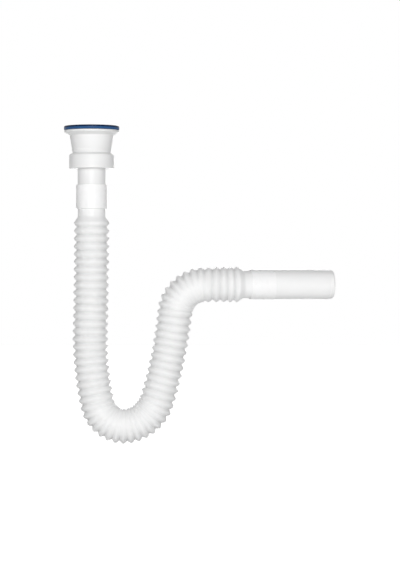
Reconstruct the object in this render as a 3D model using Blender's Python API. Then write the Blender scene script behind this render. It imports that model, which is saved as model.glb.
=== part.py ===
"""A flexible sink trap: threaded waste cup, union nut joint, corrugated hose and plain outlet spigot.

Metres, +Z up. The origin is on the inlet axis, at the gasket's top face, which seals under the sink.
The outlet runs toward +X. The hose lies in the XZ plane, apart from a slight swing at its outlet end.
"""

from math import cos, pi, radians, sin

import bmesh
import bpy
import numpy as np
from mathutils import Matrix, Vector

# Clearance between pieces that touch
GAP = 0.0003

# Gasket under the sink
GASKET_RADIUS = 0.0318
GASKET_BORE_RADIUS = 0.0236
GASKET_THICKNESS = 0.0046
GASKET_ROUNDING = 0.0020

# Flange of the waste cup
GASKET_OVERHANG = 0.0004
FLANGE_RIM_THICKNESS = 0.0025
FLANGE_SLOPE_DROP = 0.0033
COLLAR_HEIGHT = 0.0022
COLLAR_WALL = 0.0018

# Waste cup, a cone that narrows to its threaded tail
CUP_FLARE = 0.0035
CUP_FOOT_STEP = 0.00085
CUP_LENGTH = 0.0203
CUP_WALL = 0.0024
PIPE_STOP_THICKNESS = 0.0016
PIPE_STOP_STEP = 0.0014

# Threaded tail, which the union nut screws on
PIPE_SLIDE_CLEARANCE = 0.0005
THREAD_LENGTH = 0.0117
SEAL_SEAT_DEPTH = 0.0040
SEAL_SEAT_FLARE = 0.0034
TAIL_RIM_WIDTH = 0.00105

# Cross web and boss inside the cup, which take the strainer's screw
RIB_COUNT = 4
RIB_THICKNESS = 0.0024
RIB_HEIGHT = 0.0090
WEB_DEPTH = 0.0078
BOSS_WALL = 0.0017
BOSS_CAP_THICKNESS = 0.0042
SCREW_HOLE_CLEARANCE = 0.0004

# Brass insert in the boss
INSERT_BORE_RADIUS = 0.0025
INSERT_WALL = 0.0015
INSERT_LENGTH = 0.0085

# Union nut
NUT_WALL = 0.00445
NUT_LIP_THICKNESS = 0.0030
NUT_CHAMFER = 0.0012
NUT_SHOULDER_WIDTH = 0.0035
NUT_SHOULDER_DROP = 0.0028
THREAD_CLEARANCE = 0.00035

# Slip ring and cone seal under the tail
SLIP_RING_CLEARANCE = 0.0008
SLIP_RING_THICKNESS = 0.0012
SEAL_BASE_HEIGHT = 0.0014
SEAL_TOP_WALL = 0.0013
SEAL_SEAT_CLEARANCE = 0.00045

# Inlet pipe
PIPE_RADIUS = 0.0160
PIPE_WALL = 0.0017
PIPE_EXPOSED_LENGTH = 0.0184

# Sleeve that joins the pipe to the hose
SLEEVE_WALL = 0.0015
SLEEVE_LENGTH = 0.0280
SLEEVE_ROUNDING = 0.0007
SLEEVE_RIB_WIDTH = 0.0012
SLEEVE_RIB_HEIGHT = 0.0011

# Corrugated hose: section
RIDGE_RADIUS = 0.0204
FOLD_DEPTH = 0.0034
PITCH = 0.00897
HOSE_WALL = 0.0011
NECK_RADIUS = 0.0158
NECK_WALL = 0.0012
NECK_FLARE_LENGTH = 0.0075
INLET_NECK_BELOW_SLEEVE = 0.0086
OUTLET_NECK_SHOWING = 0.0079

# Corrugated hose: how its folds close up where it bends
FOLD_CLOSING = 0.80
FOLD_PRESSING = 1.4
PRESSED_FROM = -0.85
PRESSED_TO = 0.10
LEAST_FOLD_SHARE = 0.15

# Corrugated hose: route, as lengths, radii and turns along its centre line
BOW_LENGTH = 0.1246
BOW_TURN = radians(1.4)
SWAY_LENGTH = 0.0857
SWAY_TURN = radians(14.3)
HEEL_RADIUS = 0.0309
HEEL_TURN = radians(87.0)
TOE_RADIUS = 0.0415
TOE_TURN = radians(63.2)
RISER_LENGTH = 0.1050
RISER_TURN = radians(11.0)
UPPER_BEND_RADIUS = 0.0344
RUN_LENGTH = 0.0190
SWING_LENGTH = 0.0180
SWING_TURN = radians(11.0)

# Outlet spigot
SPIGOT_WALL = 0.0019
SPIGOT_LENGTH = 0.0700
SPIGOT_TIP_LENGTH = 0.0050
SPIGOT_TIP_STEP = 0.0003
SPIGOT_CHAMFER = 0.0010
SOCKET_WALL = 0.0011
SOCKET_STEP = 0.0003
SOCKET_LENGTH = 0.0278
SOCKET_GRIP = 0.0200
SOCKET_ROUNDING = 0.0005

# Facets round the turned pieces and round the hose
TURNED_SIDES = 40
INSERT_SIDES = 24
HOSE_SIDES = 18
ROUTE_STEP = 0.0005

# Levels on the inlet axis, from the sealing face down
FLANGE_TOP = -(GASKET_THICKNESS + GAP)
CUP_TOP = FLANGE_TOP - FLANGE_RIM_THICKNESS - FLANGE_SLOPE_DROP
CUP_FOOT = CUP_TOP - CUP_LENGTH
PIPE_STOP_FOOT = CUP_FOOT - PIPE_STOP_THICKNESS
TAIL_FOOT = CUP_FOOT - THREAD_LENGTH
SEAT_TOP = TAIL_FOOT + SEAL_SEAT_DEPTH
SEAL_FOOT = TAIL_FOOT - SEAL_BASE_HEIGHT
SLIP_RING_TOP = SEAL_FOOT - GAP
SLIP_RING_FOOT = SLIP_RING_TOP - SLIP_RING_THICKNESS
NUT_LIP_TOP = SLIP_RING_FOOT - GAP
NUT_FOOT = NUT_LIP_TOP - NUT_LIP_THICKNESS
NUT_TOP = CUP_FOOT - GAP
WEB_TOP = -WEB_DEPTH
INSERT_TOP = WEB_TOP - BOSS_CAP_THICKNESS - GAP
BOSS_FOOT = INSERT_TOP - INSERT_LENGTH
PIPE_TOP = PIPE_STOP_FOOT - GAP
SLEEVE_TOP = NUT_FOOT - PIPE_EXPOSED_LENGTH
SLEEVE_MIDDLE = SLEEVE_TOP - SLEEVE_LENGTH / 2
SLEEVE_FOOT = SLEEVE_TOP - SLEEVE_LENGTH
PIPE_FOOT = SLEEVE_MIDDLE + SLEEVE_RIB_WIDTH / 2 + GAP
HOSE_TOP = SLEEVE_MIDDLE - SLEEVE_RIB_WIDTH / 2 - GAP

# Radii that follow from the pieces they fit
PIPE_CLEAR_RADIUS = PIPE_RADIUS + GAP
PIPE_STOP_RADIUS = PIPE_RADIUS - PIPE_STOP_STEP
TAIL_BORE_RADIUS = PIPE_RADIUS + PIPE_SLIDE_CLEARANCE
SEAT_MOUTH_RADIUS = TAIL_BORE_RADIUS + SEAL_SEAT_FLARE
SEAL_RADIUS = SEAT_MOUTH_RADIUS - SEAL_SEAT_CLEARANCE
THREAD_RADIUS = SEAT_MOUTH_RADIUS + TAIL_RIM_WIDTH
CUP_FOOT_RADIUS = THREAD_RADIUS + CUP_FOOT_STEP
CUP_FOOT_BORE_RADIUS = CUP_FOOT_RADIUS - CUP_WALL
CUP_TOP_RADIUS = CUP_FOOT_RADIUS + CUP_FLARE
NUT_BORE_RADIUS = THREAD_RADIUS + THREAD_CLEARANCE
NUT_RADIUS = NUT_BORE_RADIUS + NUT_WALL
SLIP_RING_RADIUS = NUT_BORE_RADIUS - SLIP_RING_CLEARANCE
FLANGE_RADIUS = GASKET_RADIUS - GASKET_OVERHANG
COLLAR_RADIUS = GASKET_BORE_RADIUS - GAP
COLLAR_BORE_RADIUS = COLLAR_RADIUS - COLLAR_WALL
INSERT_RADIUS = INSERT_BORE_RADIUS + INSERT_WALL
POCKET_RADIUS = INSERT_RADIUS + GAP
BOSS_RADIUS = POCKET_RADIUS + BOSS_WALL
SCREW_HOLE_RADIUS = INSERT_BORE_RADIUS + SCREW_HOLE_CLEARANCE
NECK_CLEAR_RADIUS = NECK_RADIUS + GAP
SLEEVE_RADIUS = max(PIPE_CLEAR_RADIUS, NECK_CLEAR_RADIUS) + SLEEVE_WALL
SLEEVE_RIB_RADIUS = min(PIPE_CLEAR_RADIUS, NECK_CLEAR_RADIUS) - SLEEVE_RIB_HEIGHT
SOCKET_RADIUS = NECK_CLEAR_RADIUS + SOCKET_WALL
SPIGOT_RADIUS = SOCKET_RADIUS - SOCKET_STEP
UPPER_TURN = -BOW_TURN + SWAY_TURN + HEEL_TURN + TOE_TURN + RISER_TURN - pi / 2

# Ways to bend, as directions round the hose's own axis
TOWARD_OUTLET = 0.0
AWAY_FROM_BEND = pi
TOWARD_BACK = -pi / 2


class Stretch:
    """A straight or evenly curved stretch of the hose's centre line."""

    def __init__(self, length, turn=0.0, way=TOWARD_OUTLET):
        self.length = length
        self.curvature = turn / length
        self.way = way

    def motion(self, distance):
        """The change of place and heading over a distance along this stretch."""
        turned = self.curvature * distance
        if abs(turned) < 1e-9:
            return Matrix.Translation((0, 0, distance))
        aside = (1 - cos(turned)) / self.curvature
        along = sin(turned) / self.curvature
        arc = Matrix.Translation((aside, 0, along)) @ Matrix.Rotation(turned, 4, "Y")
        return Matrix.Rotation(self.way, 4, "Z") @ arc @ Matrix.Rotation(-self.way, 4, "Z")


INLET_NECK_LENGTH = HOSE_TOP - SLEEVE_FOOT + INLET_NECK_BELOW_SLEEVE
CORRUGATED_START = INLET_NECK_LENGTH + NECK_FLARE_LENGTH
ROUTE = (
    Stretch(CORRUGATED_START),
    Stretch(BOW_LENGTH, BOW_TURN, AWAY_FROM_BEND),
    Stretch(SWAY_LENGTH, SWAY_TURN),
    Stretch(HEEL_RADIUS * HEEL_TURN, HEEL_TURN),
    Stretch(TOE_RADIUS * TOE_TURN, TOE_TURN),
    Stretch(RISER_LENGTH, RISER_TURN),
    Stretch(UPPER_BEND_RADIUS * UPPER_TURN, UPPER_TURN, AWAY_FROM_BEND),
    Stretch(RUN_LENGTH),
    Stretch(SWING_LENGTH, SWING_TURN, TOWARD_BACK),
)
CORRUGATED_END = sum(stretch.length for stretch in ROUTE)
OUTLET_NECK_START = CORRUGATED_END + NECK_FLARE_LENGTH
SOCKET_MOUTH = OUTLET_NECK_START + OUTLET_NECK_SHOWING
HOSE_END = SOCKET_MOUTH + SOCKET_GRIP


def hose_place(distance):
    """The frame at a distance along the hose: its +Z runs along the hose, away from the inlet."""
    place = Matrix.Translation((0, 0, HOSE_TOP)) @ Matrix.Rotation(pi, 4, "X")
    for stretch in ROUTE:
        place = place @ stretch.motion(min(distance, stretch.length))
        distance -= stretch.length
        if distance <= 0:
            return place
    return place @ Matrix.Translation((0, 0, distance))


def hose_bend(distance):
    """The curvature at a distance along the hose, and the way it bends."""
    for stretch in ROUTE:
        if distance <= stretch.length:
            return stretch.curvature, stretch.way
        distance -= stretch.length
    return 0.0, TOWARD_OUTLET


def fold_distances():
    """Where each ridge and valley lies along the hose: ridges at even places of the list."""
    sampled = np.arange(CORRUGATED_START, CORRUGATED_END, ROUTE_STEP)
    closeness = [1 + FOLD_CLOSING * RIDGE_RADIUS * hose_bend(d)[0] for d in sampled]
    folds = np.concatenate(([0.0], np.cumsum(closeness) * ROUTE_STEP / PITCH))
    ends = np.append(sampled, CORRUGATED_END)
    pitches = round(folds[-1])
    wanted = np.linspace(0.0, folds[-1], 2 * pitches + 1)
    return np.interp(wanted, folds, ends)


def new_material(name, colour, roughness, metallic=0.0):
    material = bpy.data.materials.new(name)
    material.use_nodes = True
    shader = material.node_tree.nodes["Principled BSDF"]
    shader.inputs["Base Color"].default_value = (*colour, 1)
    shader.inputs["Roughness"].default_value = roughness
    shader.inputs["Metallic"].default_value = metallic
    return material


def new_object(name, mesh, material, place=None):
    shape = bpy.data.objects.new(name, mesh)
    shape.data.materials.append(material)
    bpy.context.scene.collection.objects.link(shape)
    if place is not None:
        shape.matrix_world = place
    return shape


def ringed_mesh(name, rings):
    """A closed tube wall: each ring is joined to the next, and the last to the first."""
    mesh = bpy.data.meshes.new(name)
    shape = bmesh.new()
    loops = [[shape.verts.new(point) for point in ring] for ring in rings]
    for loop, following in zip(loops, loops[1:] + loops[:1]):
        sides = len(loop)
        for side in range(sides):
            beside = (side + 1) % sides
            shape.faces.new((loop[side], loop[beside], following[beside], following[side]))
    bmesh.ops.recalc_face_normals(shape, faces=shape.faces)
    shape.to_mesh(mesh)
    shape.free()
    mesh.shade_smooth()
    mesh.set_sharp_from_angle(angle=radians(35))
    return mesh


def turned(name, outline, material, sides=TURNED_SIDES, place=None):
    """A solid turned round +Z from a closed outline of (radius, height) points."""
    angles = [2 * pi * side / sides for side in range(sides)]
    rings = [[(r * cos(a), r * sin(a), z) for a in angles] for r, z in outline]
    return new_object(name, ringed_mesh(name, rings), material, place)


def rounding(centre, radius, start, end, steps=3):
    """Points of an arc in the (radius, height) plane, from one angle in degrees to another."""
    angles = [radians(start + (end - start) * step / steps) for step in range(steps + 1)]
    return [(centre[0] + radius * cos(a), centre[1] + radius * sin(a)) for a in angles]


def box_between(name, low, high, turn):
    """A block between two corners, turned about +Z."""
    mesh = bpy.data.meshes.new(name)
    shape = bmesh.new()
    bmesh.ops.create_cube(shape, size=1)
    middle = (Vector(low) + Vector(high)) / 2
    sizes = Vector(high) - Vector(low)
    place = Matrix.Rotation(turn, 4, "Z") @ Matrix.Translation(middle) @ Matrix.Diagonal((*sizes, 1))
    bmesh.ops.transform(shape, matrix=place, verts=shape.verts)
    shape.to_mesh(mesh)
    shape.free()
    return mesh


def helper(shape):
    shape.hide_render = True
    shape.display_type = "WIRE"
    return shape


def combine(target, other, operation):
    modifier = target.modifiers.new(f"{operation} {other.name}", "BOOLEAN")
    modifier.operation = operation
    modifier.object = helper(other)


# Waste cup and what it carries

def cup_radius_at(height):
    """The cup's outer radius at a height between its foot and its top."""
    share = (height - CUP_FOOT) / CUP_LENGTH
    return CUP_FOOT_RADIUS + share * (CUP_TOP_RADIUS - CUP_FOOT_RADIUS)


def make_waste_body(material):
    rim_chamfer = FLANGE_RIM_THICKNESS / 4
    outline = [
        (COLLAR_RADIUS, FLANGE_TOP),
        (COLLAR_RADIUS, FLANGE_TOP + COLLAR_HEIGHT),
        (COLLAR_BORE_RADIUS, FLANGE_TOP + COLLAR_HEIGHT),
        (cup_radius_at(CUP_TOP) - CUP_WALL, CUP_TOP),
        (CUP_FOOT_BORE_RADIUS, CUP_FOOT),
        (PIPE_STOP_RADIUS, CUP_FOOT),
        (PIPE_STOP_RADIUS, PIPE_STOP_FOOT),
        (TAIL_BORE_RADIUS, PIPE_STOP_FOOT),
        (TAIL_BORE_RADIUS, SEAT_TOP),
        (SEAT_MOUTH_RADIUS, TAIL_FOOT),
        (THREAD_RADIUS, TAIL_FOOT),
        (THREAD_RADIUS, CUP_FOOT),
        (CUP_FOOT_RADIUS, CUP_FOOT),
        (CUP_TOP_RADIUS, CUP_TOP),
        (FLANGE_RADIUS - rim_chamfer, CUP_TOP + FLANGE_SLOPE_DROP),
        (FLANGE_RADIUS, CUP_TOP + FLANGE_SLOPE_DROP + rim_chamfer),
        (FLANGE_RADIUS, FLANGE_TOP - rim_chamfer),
        (FLANGE_RADIUS - rim_chamfer, FLANGE_TOP),
    ]
    body = turned("waste_body", outline, material)
    root = (POCKET_RADIUS + BOSS_RADIUS) / 2
    reach = cup_radius_at(WEB_TOP - RIB_HEIGHT) - CUP_WALL / 2
    for rib in range(RIB_COUNT):
        low = (root, -RIB_THICKNESS / 2, WEB_TOP - RIB_HEIGHT)
        high = (reach, RIB_THICKNESS / 2, WEB_TOP)
        name = f"rib_{rib + 1}"
        mesh = box_between(name, low, high, 2 * pi * rib / RIB_COUNT + pi / RIB_COUNT)
        combine(body, new_object(name, mesh, material), "UNION")
    boss = turned(
        "boss",
        [
            (SCREW_HOLE_RADIUS, WEB_TOP),
            (SCREW_HOLE_RADIUS, INSERT_TOP + GAP),
            (POCKET_RADIUS, INSERT_TOP + GAP),
            (POCKET_RADIUS, BOSS_FOOT),
            (BOSS_RADIUS, BOSS_FOOT),
            (BOSS_RADIUS, WEB_TOP),
        ],
        material,
        INSERT_SIDES,
    )
    combine(body, boss, "UNION")
    return body


def make_screw_insert(material):
    """The brass insert, with a bore for the strainer's screw."""
    chamfer = INSERT_WALL / 4
    outline = [
        (INSERT_BORE_RADIUS, INSERT_TOP),
        (INSERT_BORE_RADIUS, BOSS_FOOT + chamfer),
        (INSERT_BORE_RADIUS + chamfer, BOSS_FOOT),
        (INSERT_RADIUS, BOSS_FOOT),
        (INSERT_RADIUS, INSERT_TOP),
    ]
    turned("screw_insert", outline, material, INSERT_SIDES)


def make_rim_gasket(material):
    foot = -GASKET_THICKNESS
    crown = (GASKET_RADIUS - GASKET_ROUNDING, -GASKET_ROUNDING)
    lip = GASKET_ROUNDING / 3
    outline = [(GASKET_BORE_RADIUS, 0.0), (GASKET_BORE_RADIUS, foot)]
    outline += [(GASKET_RADIUS - lip, foot), (GASKET_RADIUS, foot + lip)]
    outline += rounding(crown, GASKET_ROUNDING, 0, 90)
    turned("rim_gasket", outline, material)


# Union nut joint

def make_union_nut(material):
    outline = [
        (NUT_BORE_RADIUS, NUT_TOP),
        (NUT_BORE_RADIUS, NUT_LIP_TOP),
        (PIPE_CLEAR_RADIUS, NUT_LIP_TOP),
        (PIPE_CLEAR_RADIUS, NUT_FOOT),
        (NUT_RADIUS - NUT_CHAMFER, NUT_FOOT),
        (NUT_RADIUS, NUT_FOOT + NUT_CHAMFER),
        (NUT_RADIUS, NUT_TOP - NUT_SHOULDER_DROP),
        (NUT_RADIUS - NUT_SHOULDER_WIDTH, NUT_TOP),
    ]
    turned("union_nut", outline, material)


def make_slip_ring(material):
    outline = [
        (PIPE_CLEAR_RADIUS, SLIP_RING_TOP),
        (PIPE_CLEAR_RADIUS, SLIP_RING_FOOT),
        (SLIP_RING_RADIUS, SLIP_RING_FOOT),
        (SLIP_RING_RADIUS, SLIP_RING_TOP),
    ]
    turned("slip_ring", outline, material)


def make_cone_seal(material):
    """The rubber wedge that the nut drives up into the tail's seat, round the pipe."""
    top_radius = PIPE_CLEAR_RADIUS + SEAL_TOP_WALL
    seat_slope = SEAL_SEAT_FLARE / SEAL_SEAT_DEPTH
    top = TAIL_FOOT + (SEAL_RADIUS - top_radius) / seat_slope
    outline = [
        (PIPE_CLEAR_RADIUS, top),
        (PIPE_CLEAR_RADIUS, SEAL_FOOT),
        (SEAL_RADIUS, SEAL_FOOT),
        (SEAL_RADIUS, TAIL_FOOT),
        (top_radius, top),
    ]
    turned("cone_seal", outline, material)


def make_inlet_pipe(material):
    chamfer = PIPE_WALL / 3
    outline = [
        (PIPE_RADIUS - PIPE_WALL, PIPE_TOP),
        (PIPE_RADIUS - PIPE_WALL, PIPE_FOOT),
        (PIPE_RADIUS, PIPE_FOOT),
        (PIPE_RADIUS, PIPE_TOP - chamfer),
        (PIPE_RADIUS - chamfer, PIPE_TOP),
    ]
    turned("inlet_pipe", outline, material)


def make_joint_sleeve(material):
    """The sleeve over the pipe's foot and the hose's top, with a register rib between them."""
    rib_top = SLEEVE_MIDDLE + SLEEVE_RIB_WIDTH / 2
    rib_foot = SLEEVE_MIDDLE - SLEEVE_RIB_WIDTH / 2
    edge = SLEEVE_RADIUS - SLEEVE_ROUNDING
    outline = [
        (PIPE_CLEAR_RADIUS, SLEEVE_TOP),
        (PIPE_CLEAR_RADIUS, rib_top),
        (SLEEVE_RIB_RADIUS, rib_top),
        (SLEEVE_RIB_RADIUS, rib_foot),
        (NECK_CLEAR_RADIUS, rib_foot),
        (NECK_CLEAR_RADIUS, SLEEVE_FOOT),
    ]
    outline += rounding((edge, SLEEVE_FOOT + SLEEVE_ROUNDING), SLEEVE_ROUNDING, -90, 0, 2)
    outline += rounding((edge, SLEEVE_TOP - SLEEVE_ROUNDING), SLEEVE_ROUNDING, 0, 90, 2)
    turned("joint_sleeve", outline, material)


# Corrugated hose

def fold_depth_share(curvature, toward_inside):
    """How deep a valley shows at one side, where 1 is the inside of a bend and -1 its outside.

    The folds are pressed shut from near the outside on, and all of it once past the middle.
    """
    pressed = (toward_inside - PRESSED_FROM) / (PRESSED_TO - PRESSED_FROM)
    pressed = min(max(pressed, 0.0), 1.0)
    return max(1.0 - FOLD_PRESSING * RIDGE_RADIUS * curvature * pressed, LEAST_FOLD_SHARE)


def hose_ring(distance, radius_toward):
    """A ring round the hose, where radius_toward gives the radius for an angle round its axis."""
    place = hose_place(distance)
    angles = [2 * pi * side / HOSE_SIDES for side in range(HOSE_SIDES)]
    return [
        place @ Vector((radius_toward(a) * cos(a), radius_toward(a) * sin(a), 0)) for a in angles
    ]


def plain_ring(distance, radius):
    return hose_ring(distance, lambda angle: radius)


def valley_ring(distance, inset):
    """A valley's ring, with the whole wall moved in by inset."""
    curvature, way = hose_bend(distance)

    def radius_toward(angle):
        depth = FOLD_DEPTH * fold_depth_share(curvature, cos(angle - way))
        return RIDGE_RADIUS - depth - inset

    return hose_ring(distance, radius_toward)


def hose_wall_rings(neck_radius, inset):
    """One face of the hose's wall, from the inlet end to the outlet end."""
    folds = fold_distances()
    rings = [
        plain_ring(0.0, neck_radius),
        plain_ring(INLET_NECK_LENGTH, neck_radius),
    ]
    for number, distance in enumerate(folds):
        if number % 2:
            rings.append(valley_ring(distance, inset))
        else:
            rings.append(plain_ring(distance, RIDGE_RADIUS - inset))
    rings += [plain_ring(OUTLET_NECK_START, neck_radius), plain_ring(HOSE_END, neck_radius)]
    return rings


def make_corrugated_hose(material):
    outside = hose_wall_rings(NECK_RADIUS, 0.0)
    inside = hose_wall_rings(NECK_RADIUS - NECK_WALL, HOSE_WALL)
    new_object("corrugated_hose", ringed_mesh("corrugated_hose", outside + inside[::-1]), material)


# Outlet spigot

def make_outlet_spigot(material):
    """The spigot and its socket as one moulding: +Z of its own frame runs out along its bore."""
    bore = SPIGOT_RADIUS - SPIGOT_WALL
    shoulder = SOCKET_GRIP + GAP
    tip_radius = SPIGOT_RADIUS - SPIGOT_TIP_STEP
    end = SOCKET_LENGTH + SPIGOT_LENGTH
    edge = SOCKET_RADIUS - SOCKET_ROUNDING
    outline = [(bore, end), (bore, shoulder)]
    outline += [(NECK_CLEAR_RADIUS, shoulder), (NECK_CLEAR_RADIUS, 0.0)]
    outline += rounding((edge, SOCKET_ROUNDING), SOCKET_ROUNDING, -90, 0, 2)
    outline += [
        (SOCKET_RADIUS, SOCKET_LENGTH - SOCKET_STEP),
        (SPIGOT_RADIUS, SOCKET_LENGTH),
        (SPIGOT_RADIUS, end - SPIGOT_TIP_LENGTH),
        (tip_radius, end - SPIGOT_TIP_LENGTH + SPIGOT_TIP_STEP),
        (tip_radius, end - SPIGOT_CHAMFER),
        (tip_radius - SPIGOT_CHAMFER / 2, end),
    ]
    turned("outlet_spigot", outline, material, place=hose_place(SOCKET_MOUTH))


def main():
    for old in list(bpy.data.objects):
        bpy.data.objects.remove(old, do_unlink=True)
    white = new_material("white polypropylene", (0.86, 0.87, 0.88), 0.32)
    hose_white = new_material("white hose polypropylene", (0.84, 0.85, 0.86), 0.36)
    blue = new_material("blue rubber", (0.03, 0.12, 0.34), 0.42)
    black = new_material("black rubber", (0.03, 0.03, 0.03), 0.60)
    brass = new_material("brass", (0.70, 0.50, 0.20), 0.35, 1.0)
    make_waste_body(white)
    make_screw_insert(brass)
    make_rim_gasket(blue)
    make_union_nut(white)
    make_slip_ring(white)
    make_cone_seal(black)
    make_inlet_pipe(white)
    make_joint_sleeve(white)
    make_corrugated_hose(hose_white)
    make_outlet_spigot(white)


main()
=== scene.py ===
"""The looks of a flexible sink trap: gasketed waste cup, union nut, corrugated hose and outlet spigot.

Metres, +Z up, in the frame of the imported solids, whose origin is on the inlet axis at the gasket's
top face.
"""

import logging
from dataclasses import dataclass, field
from enum import Enum
from math import cos, pi, radians, sin, sqrt, tan
from typing import Callable, Sequence

import bmesh
import bpy
import numpy as np
from mathutils import Matrix, Vector


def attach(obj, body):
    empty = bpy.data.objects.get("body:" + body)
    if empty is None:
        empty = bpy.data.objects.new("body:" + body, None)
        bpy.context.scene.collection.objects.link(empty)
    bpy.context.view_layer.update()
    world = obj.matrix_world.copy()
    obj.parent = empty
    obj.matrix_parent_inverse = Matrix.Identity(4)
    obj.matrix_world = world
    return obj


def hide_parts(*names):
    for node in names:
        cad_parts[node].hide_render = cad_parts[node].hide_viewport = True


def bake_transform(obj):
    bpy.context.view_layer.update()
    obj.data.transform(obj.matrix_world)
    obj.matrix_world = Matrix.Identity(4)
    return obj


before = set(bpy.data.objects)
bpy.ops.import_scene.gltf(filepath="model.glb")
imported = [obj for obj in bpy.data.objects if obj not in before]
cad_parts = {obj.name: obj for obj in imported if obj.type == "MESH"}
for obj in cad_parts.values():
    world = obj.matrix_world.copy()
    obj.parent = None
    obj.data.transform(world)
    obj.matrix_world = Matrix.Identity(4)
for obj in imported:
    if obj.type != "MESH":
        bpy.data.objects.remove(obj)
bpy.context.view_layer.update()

Colour = tuple[float, float, float]
Piece = bpy.types.Object
Socket = bpy.types.NodeSocket
Bulge = Callable[[np.ndarray, np.ndarray, np.ndarray], np.ndarray]

LOG = logging.getLogger("sink_trap")
FOLD_ROOT = "fold_root"
TURN = 2 * pi
MM = 0.001
GAP = 0.3 * MM
NEAR = 0.05 * MM

# Between which values a noise mostly lies
MOSTLY_ABOVE = 0.3
MOSTLY_BELOW = 0.7

# How far edges are rounded, from keen to blunt
KEEN = 0.1 * MM
CRISP = 0.2 * MM
BROKEN = 0.3 * MM
EASED = 0.4 * MM
SOFT = 0.5 * MM
BLUNT = 0.6 * MM


class Body(Enum):
    """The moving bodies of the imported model."""

    INLET = "inlet"
    NUT_CARRIER = "nut_carrier"
    NUT = "nut"
    HOSE = "hose"
    OUTLET = "outlet"


class Slot(Enum):
    """The record's material slots."""

    WHITE = "white_plastic"
    HOSE = "hose_plastic"
    BLUE = "blue_rubber"
    BLACK = "black_rubber"
    BRASS = "brass"


# Finishes


class NodeWriter:
    """Adds nodes to a shader tree in short lines."""

    def __init__(self, tree: bpy.types.NodeTree) -> None:
        """Starts on a tree.

        Args:
            tree: The tree of a material or of the surround.
        """
        self.tree = tree
        self.shader = tree.nodes.get("Principled BSDF")

    def put(self, value: object, target: Socket) -> None:
        """Joins an output to an input, or sets the input to a plain value.

        Args:
            value: The output's socket, or the plain value.
            target: The input's socket.
        """
        if isinstance(value, Socket):
            self.tree.links.new(value, target)
        else:
            target.default_value = value

    def add(self, kind: str, **settings: object) -> bpy.types.Node:
        """Adds a node, with its inputs given by name and its properties by attribute.

        Args:
            kind: The node's type, without its ShaderNode prefix.
            **settings: Inputs, with _ for each space, or properties of the node.

        Returns:
            The new node.
        """
        node = self.tree.nodes.new("ShaderNode" + kind)
        for key, value in settings.items():
            name = key.replace("_", " ")
            if name in node.inputs:
                self.put(value, node.inputs[name])
            else:
                setattr(node, key, value)
        return node

    def set(self, **values: object) -> None:
        """Sets or joins the shader's own sockets, with _ for each space in a name."""
        for key, value in values.items():
            self.put(value, self.shader.inputs[key.replace("_", " ")])

    def source(self, name: str) -> Socket:
        """The output that one of the shader's sockets is joined to."""
        return self.shader.inputs[name].links[0].from_socket

    def position(self) -> Socket:
        """The surface's own coordinates, in metres."""
        return self.add("TexCoord").outputs["Object"]

    def maths(self, operation: str, *values: Socket | float) -> Socket:
        """Works out a sum, a product or the like.

        Args:
            operation: What is worked out, in the node's own word.
            *values: What goes in, in the order of the node's inputs.

        Returns:
            The result's socket.
        """
        node = self.add("Math", operation=operation)
        for value, target in zip(values, node.inputs):
            self.put(value, target)
        return node.outputs["Value"]

    def noise(self, scale: float, detail: float, roughness: float = 0.5) -> Socket:
        """A cloudy value over the surface.

        Args:
            scale: How many clouds there are to a metre.
            detail: How many finer octaves they have.
            roughness: How strong the finer octaves are.

        Returns:
            The value's socket.
        """
        place = self.position()
        node = self.add("TexNoise", Vector=place, Scale=scale, Detail=detail, Roughness=roughness)
        return node.outputs["Fac"]

    def ramp(
        self,
        value: Socket,
        start: float = 0.0,
        end: float = 1.0,
        low: float = 0.0,
        high: float = 1.0,
        course: str = "LINEAR",
    ) -> Socket:
        """Maps a range of a value onto another range.

        Args:
            value: The value.
            start: Where the range starts.
            end: Where the range ends.
            low: The result at the start.
            high: The result at the end.
            course: How the result runs between its ends.

        Returns:
            The result's socket.
        """
        node = self.add("MapRange", Value=value, interpolation_type=course)
        limits = {"From Min": start, "From Max": end, "To Min": low, "To Max": high}
        for name, limit in limits.items():
            node.inputs[name].default_value = limit
        return node.outputs["Result"]

    def spread(self, value: Socket, low: float, high: float) -> Socket:
        """Maps a cloudy value, from where it is mostly low to where it is mostly high."""
        return self.ramp(value, MOSTLY_ABOVE, MOSTLY_BELOW, low, high)

    def between(self, share: Socket, first: Socket | Colour, second: Colour) -> Socket:
        """Mixes two colours by a value.

        Args:
            share: The share of the second colour.
            first: The first colour.
            second: The second colour.

        Returns:
            The mixed colour's socket.
        """
        node = self.add("Mix", data_type="RGBA", Factor=share)
        targets = [socket for socket in node.inputs if socket.type == "RGBA"]
        for colour, target in zip((first, second), targets):
            self.put(colour if isinstance(colour, Socket) else (*colour, 1), target)
        return next(socket for socket in node.outputs if socket.type == "RGBA")

    def tint(self, share: Socket, colour: Colour) -> None:
        """Mixes a share of another colour into the base colour that is there."""
        self.set(Base_Color=self.between(share, self.source("Base Color"), colour))

    def bump(self, height: Socket, depth: float, after: Socket | None = None) -> Socket:
        """Turns a height into a shading normal.

        Args:
            height: The height, from 0 to 1.
            depth: What a height of 1 is, in metres.
            after: An earlier normal to add to.

        Returns:
            The normal's socket.
        """
        node = self.add("Bump", Distance=depth, Height=height)
        if after is not None:
            self.put(after, node.inputs["Normal"])
        return node.outputs["Normal"]

    def seen_directly(self) -> Socket:
        """A value that is 1 for what the camera sees, also in a reflection or through glass.

        Returns:
            The value's socket, which is 0 for light that falls on the object.
        """
        path = self.add("LightPath").outputs
        seen = path["Is Camera Ray"]
        for kind in ("Is Glossy Ray", "Is Transmission Ray"):
            seen = self.maths("MAXIMUM", seen, path[kind])
        return seen


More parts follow.
